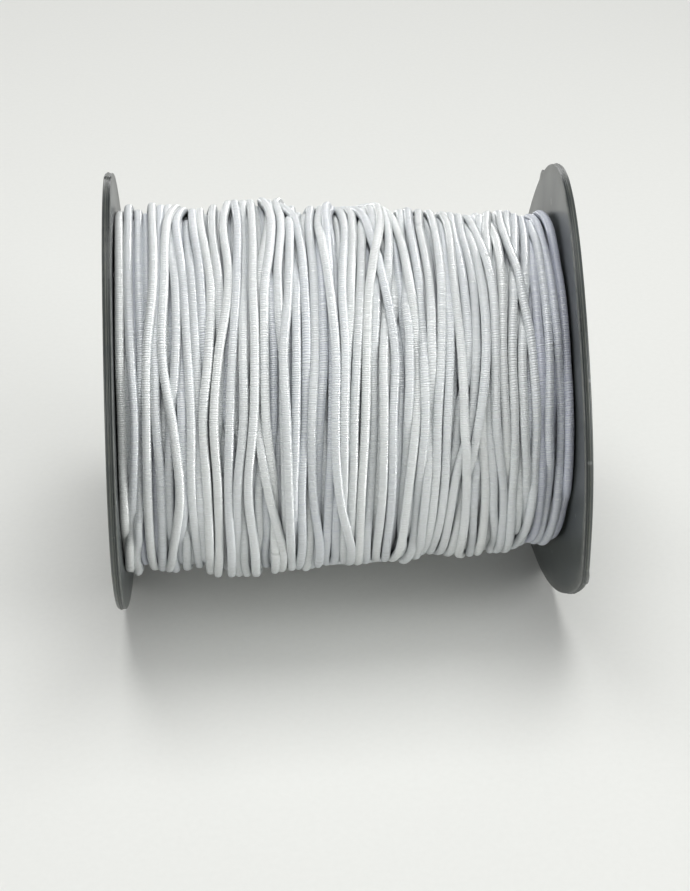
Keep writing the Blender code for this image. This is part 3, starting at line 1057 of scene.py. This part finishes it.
def plastic_material():
    """Dark moulded plastic with a satin gloss: mottled, with pale specks, fine scuffs and
    a rim that is rubbed paler, with painted shade in its grooves and a painted highlight
    along its inner edge."""
    look = Look("spool_plastic", PLASTIC, 0.3)
    place = look.place()
    grain = look.noise(place, GRAIN_SCALE, 3.0)
    clouds = look.noise(place, CLOUD_SCALE)
    worn = look.value("wear_and_groove_shade")
    patchy = look.ranged(look.noise(place, PATCH_SCALE, 4.0, 0.7), 0.38, 0.62, 0.25, 1.0)
    # painted shade in the rim's grooves, where the attribute is below 0
    groove_shade = look.ranged(worn, -1.0, 0.0, 1.0, 0.0)
    worn = look.maths("MULTIPLY", look.maths("MAXIMUM", worn, 0.0), patchy)
    specks = look.node("ShaderNodeTexVoronoi", {"Vector": place, "Scale": SPECK_SCALE})
    close = look.ranged(specks.outputs["Distance"], *SPECK_SIZE, 1.0, 0.0)
    chosen = look.node("ShaderNodeSeparateColor", {0: specks.outputs["Color"]}).outputs[0]
    rare = look.maths("GREATER_THAN", chosen, SPECK_RARE)
    speck = look.maths("MULTIPLY", close, rare)
    # painted highlight along the rim's inner edge, and paler stubs
    edge = look.maths("MULTIPLY", look.value("edge"), patchy)
    color = look.mixed(look.ranged(clouds, 0.25, 0.75), PLASTIC, PLASTIC_MOTTLE)
    color = look.mixed(worn, color, PLASTIC_WORN)
    color = look.mixed(groove_shade, color, PLASTIC_DARK)
    color = look.mixed(edge, color, PLASTIC_EDGE_HIGHLIGHT)
    look.shade("Base Color", look.mixed(speck, color, PLASTIC_SPECK))
    rough = look.ranged(clouds, 0.25, 0.75, *PLASTIC_ROUGH)
    look.shade("Roughness", look.maths("MULTIPLY_ADD", worn, WORN_ROUGHER, rough))
    look.bump(grain, 0.2, GRAIN_BUMP)
    return look.material


def floor_material():
    """Pale plain paper with a faint tooth."""
    look = Look("pale_floor", FLOOR, 0.9)
    tooth = look.noise(look.place(), TOOTH_SCALE, 4.0)
    look.shade("Base Color", look.mixed(tooth, FLOOR_DARK, FLOOR))
    look.bump(tooth, 0.1, TOOTH_BUMP)
    look.shader.inputs["Specular IOR Level"].default_value = 0.0
    return look.material


# -------- the scene


def cord_tones(x, rank, chance):
    """How bright the cord is at each of its places: each turn's own tone, with painted shade
    on turns that lie lower and near the flanges, and painted light on the first turn.
    """
    tones = np.repeat(chance.uniform(*TONES, len(x)), STEPS)
    stray = chance.normal(0.0, TONE_STRAY, TONE_KNOTS * len(x) + 1)
    knots = np.arange(len(stray)) * STEPS / TONE_KNOTS
    tones += np.interp(np.arange(x.size), knots, stray)
    # painted shade, and more roughness, on turns that lie lower among the others
    tones -= SUNK_SHADE_AND_DULLING * np.clip(SUNK_BELOW - rank.ravel(), 0.0, 1.0)
    # painted shade near the flanges, and painted light on the first turn
    for change, start, end in END_SHADE_AND_LIGHT:
        tones += change * step_up(x.ravel(), start, end)
    return tones


def make_cord(material):
    """All the cord: the layers beneath as one piece, the visible turns as three, and the
    wound body below them."""
    x, radius, rank = lay_cord()
    chance = np.random.default_rng(SEED + 1)
    tones = cord_tones(x, rank, chance)
    turned = np.radians(PATH_START + np.arange(x.size) * 360.0 / STEPS)
    out = radius.ravel()
    line = np.stack([x.ravel(), out * np.cos(turned), out * np.sin(turned)], axis=1)
    path = (line, turned, count_ribs(line, chance), (x, radius))
    first = len(LOW_RANKS) * UNDER_TURNS * STEPS
    span = (0, first)
    pieces = [cord_piece("cord_beneath", path, span, UNDER_STRIDE, UNDER_SIDES, tones, material)]
    last = x.size - 1
    cuts = [first + round((last - first) * i / TOP_PIECES) for i in range(TOP_PIECES + 1)]
    for i in range(TOP_PIECES):
        span = (cuts[i], cuts[i + 1])
        name = f"cord_turns_{i + 1}"
        pieces.append(cord_piece(name, path, span, 1, TOP_SIDES, tones, material))
    pieces.append(wound_core(material))
    for piece in pieces:
        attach(piece, "root")
        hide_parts("winding")
    return pieces


def make_spool(frame, material):
    """Both flanges in their finer form, and the barrel in the same plastic."""
    chance = np.random.default_rng(SEED + 2)
    for side in ("left", "right"):
        piece = flange(side, material, chance)
        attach(piece, "root")
        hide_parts(f"flange_{side}")
    node = frame["nodes"]["barrel"]
    node.data.materials.clear()
    node.data.materials.append(material)


def make_floor():
    """A wide pale floor."""
    corners = ((-1, -1, 0), (1, -1, 0), (1, 1, 0), (-1, 1, 0))
    points = FLOOR_HALF * np.array(corners, float)
    floor = mesh_object("floor", points, np.array([[0, 1, 2, 3]]), floor_material())


def add_lamp(name, place, size, power, only=()):
    """A soft square lamp, turned towards the roll. One that is only for some pieces adds
    no more than a shine to them."""
    data = bpy.data.lights.new(name, "AREA")
    data.shape = "RECTANGLE"
    data.size, data.size_y = size
    data.energy = power
    lamp = add_object(name, data)
    lamp.location = place
    ahead = Vector(LAMPS_AIM) - Vector(place)
    lamp.rotation_euler = ahead.to_track_quat("-Z", "Y").to_euler()
    lamp.visible_camera = False
    if only:
        lit = bpy.data.collections.new(name + "_lit")
        for piece in only:
            lit.objects.link(piece)
        lamp.light_linking.receiver_collection = lit
        lamp.visible_diffuse = False


def make_light(cord):
    """Soft light from overhead and from low down on all sides, in a pale room."""
    world = bpy.data.worlds.new("room")
    world.use_nodes = True
    background = world.node_tree.nodes["Background"]
    background.inputs[0].default_value = (*ROOM_COLOR, 1)
    background.inputs[1].default_value = ROOM_STRENGTH
    bpy.context.scene.world = world
    for lamp in LAMPS:
        add_lamp(*lamp)
    for lamp in SHINE_LAMPS:
        add_lamp(*lamp, only=cord)
    bpy.context.scene.view_settings.view_transform = "Standard"


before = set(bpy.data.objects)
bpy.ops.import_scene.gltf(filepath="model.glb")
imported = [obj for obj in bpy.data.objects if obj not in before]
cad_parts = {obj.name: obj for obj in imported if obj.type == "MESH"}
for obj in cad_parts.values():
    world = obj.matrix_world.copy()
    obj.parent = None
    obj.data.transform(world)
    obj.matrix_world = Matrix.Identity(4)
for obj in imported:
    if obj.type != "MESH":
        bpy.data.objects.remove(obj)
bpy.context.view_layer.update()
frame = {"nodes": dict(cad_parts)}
make_camera()
cord = make_cord(cord_material())
make_spool(frame, plastic_material())
make_floor()
make_light(cord)
